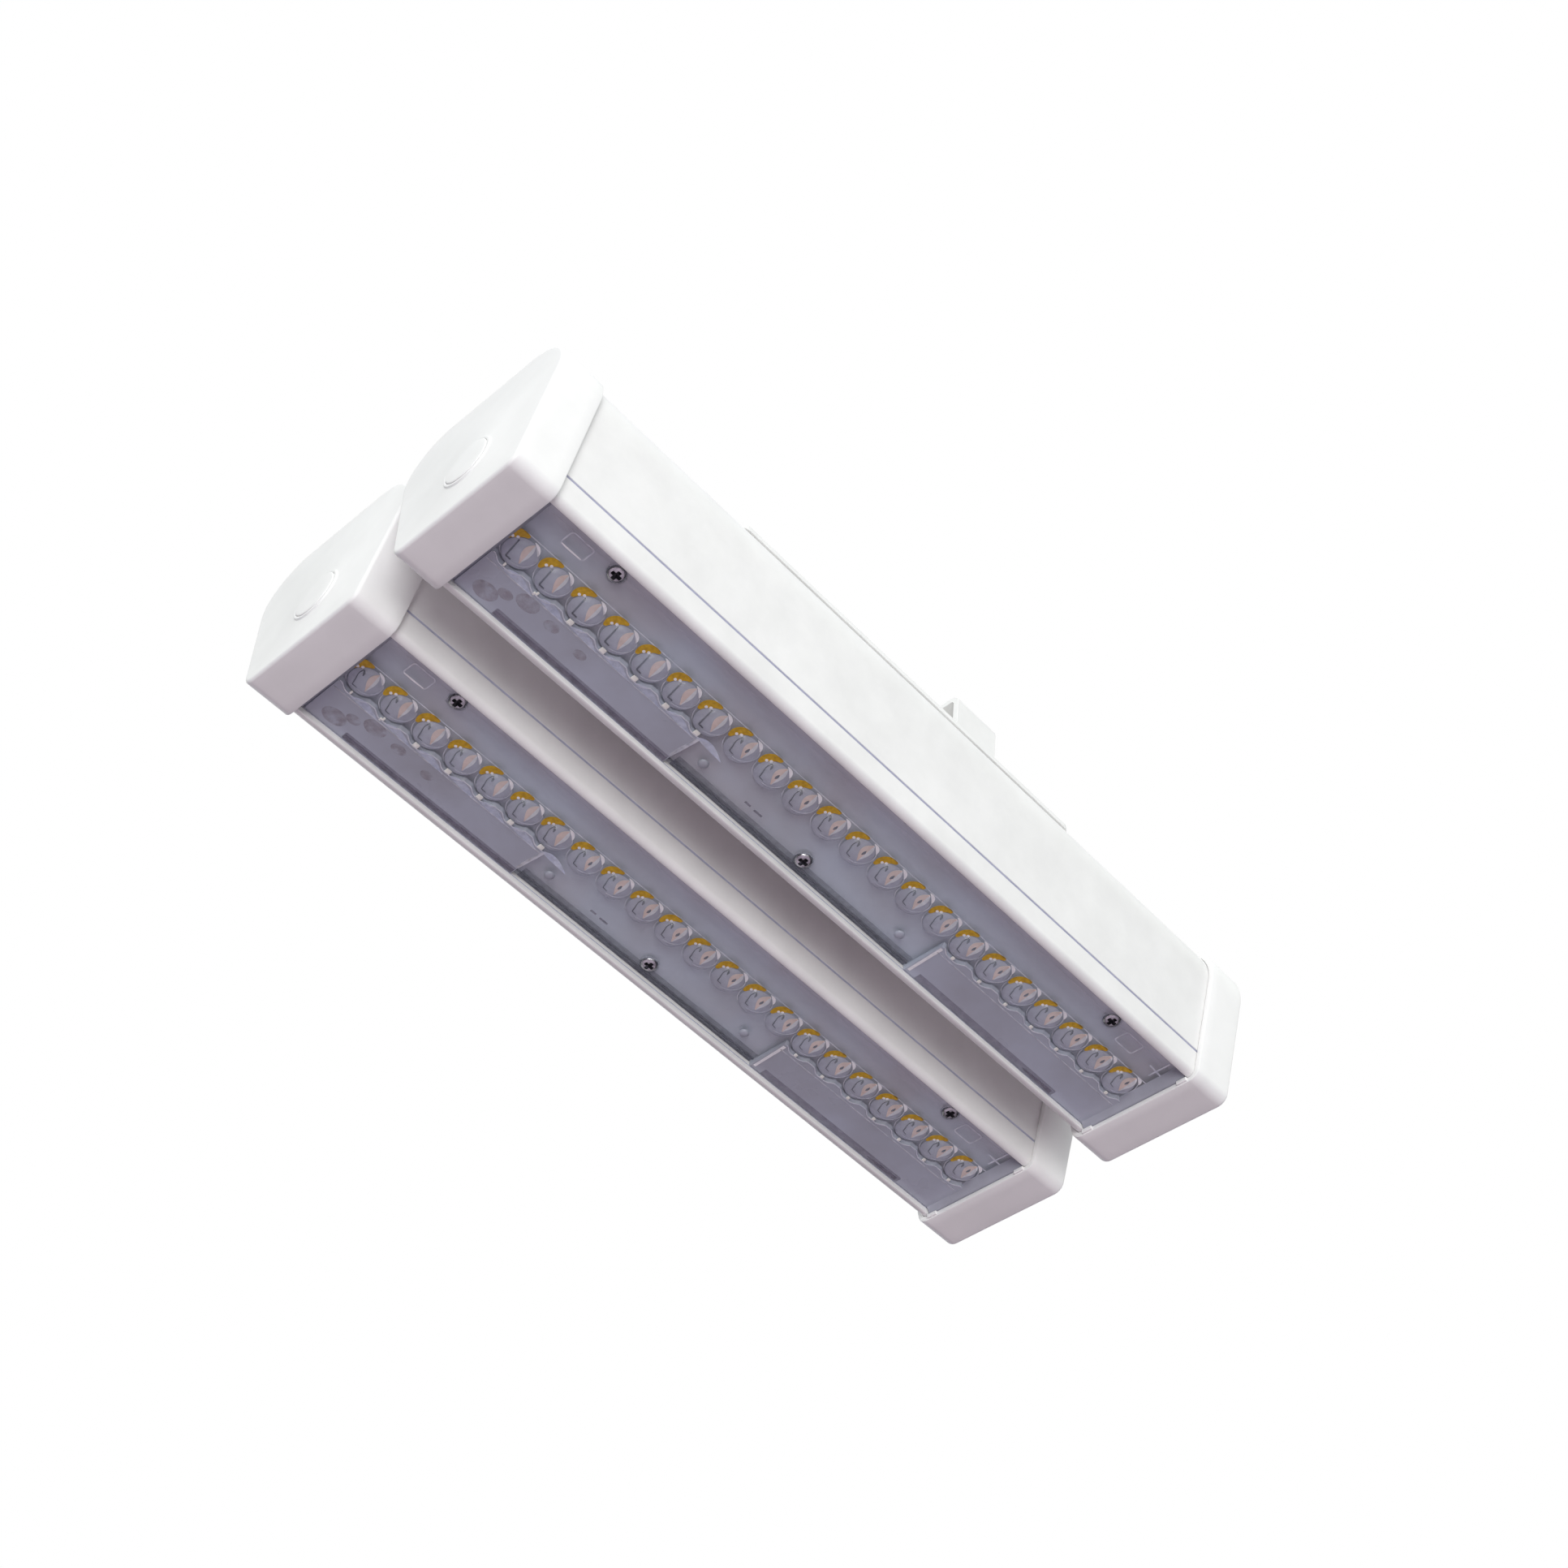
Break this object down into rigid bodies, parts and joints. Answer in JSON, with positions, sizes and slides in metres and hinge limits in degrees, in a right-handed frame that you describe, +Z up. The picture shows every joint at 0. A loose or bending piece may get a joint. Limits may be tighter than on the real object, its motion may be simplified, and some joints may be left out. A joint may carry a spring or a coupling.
{
  "type": "led light tube",
  "caption": "Twin-module linear LED luminaire: two white box profiles with clear domed lens windows, on a carrier plate with a tilting hanger yoke.",
  "frame": {"origin": "under the middle of the luminaire, on the plane of the end caps' undersides", "axes": "+X along the modules from the near caps to the far caps, +Z up towards the yoke; the light leaves towards -Z"},
  "size_m": [0.319, 0.1354, 0.084],
  "materials": {
    "white_paint": "smooth satin white powder coat",
    "white_plastic": "satin moulded white plastic",
    "clear_lens": "clear moulded optical plastic",
    "board_mask": "grey-white solder mask",
    "phosphor": "yellow phosphor under silicone",
    "screw_steel": "bright nickel-plated steel",
    "zinc_steel": "zinc-plated steel",
    "black_rubber": "matt black silicone",
    "black_nylon": "matt black nylon",
    "gland_nylon": "light grey nylon",
    "green_board": "green solder mask",
    "lead_sleeve": "satin lead sleeve"
  },
  "bodies": {
    "yoke": {"yoke": "white_paint", "pivot_studs": "zinc_steel", "pivot_nuts": "zinc_steel", "pivot_washers": "black_nylon"},
    "carrier": {"carrier_plate": "white_paint"},
    "module_a": {"housing_a": "white_paint", "near_cap_a": "white_plastic", "far_cap_a": "white_plastic", "end_gaskets_a": "black_rubber", "cap_screws_a": "screw_steel", "cap_plugs_a": "white_plastic", "lens_plate_a": "clear_lens", "lens_seal_a": "black_rubber", "lens_screws_a": "screw_steel", "led_board_a": "board_mask", "led_packages_a": "phosphor", "gear_tray_a": "zinc_steel", "tray_screws_a": "screw_steel", "driver_case_a": "white_plastic", "driver_lid_a": "white_plastic", "driver_board_a": "green_board", "terminal_block_a": "white_plastic", "dc_leads_a": "lead_sleeve", "ac_leads_a": "lead_sleeve", "gland_body_a": "gland_nylon", "gland_nut_a": "gland_nylon", "gland_seal_a": "black_rubber", "gland_locknut_a": "gland_nylon", "mount_bolts_a": "zinc_steel", "mount_washers_a": "zinc_steel", "nut_bars_a": "zinc_steel"},
    "module_b": {"housing_b": "white_paint", "near_cap_b": "white_plastic", "far_cap_b": "white_plastic", "end_gaskets_b": "black_rubber", "cap_screws_b": "screw_steel", "cap_plugs_b": "white_plastic", "lens_plate_b": "clear_lens", "lens_seal_b": "black_rubber", "lens_screws_b": "screw_steel", "led_board_b": "board_mask", "led_packages_b": "phosphor", "gear_tray_b": "zinc_steel", "tray_screws_b": "screw_steel", "driver_case_b": "white_plastic", "driver_lid_b": "white_plastic", "driver_board_b": "green_board", "terminal_block_b": "white_plastic", "dc_leads_b": "lead_sleeve", "ac_leads_b": "lead_sleeve", "gland_body_b": "gland_nylon", "gland_nut_b": "gland_nylon", "gland_seal_b": "black_rubber", "gland_locknut_b": "gland_nylon", "mount_bolts_b": "zinc_steel", "mount_washers_b": "zinc_steel", "nut_bars_b": "zinc_steel"}
  },
  "joints": [
    {"name": "yoke_tilt", "type": "hinge", "parent": "yoke", "child": "carrier", "pos_m": [0.033, 0, 0.0645], "axis": [0, 1, 0], "range_deg": [-50, 50]},
    {"name": "module_a_slide", "type": "slide", "parent": "carrier", "child": "module_a", "axis": [1, 0, 0], "range_m": [-0.0029, 0.0051]},
    {"name": "module_b_slide", "type": "slide", "parent": "carrier", "child": "module_b", "axis": [1, 0, 0], "range_m": [-0.0051, 0.0029]}
  ]
}
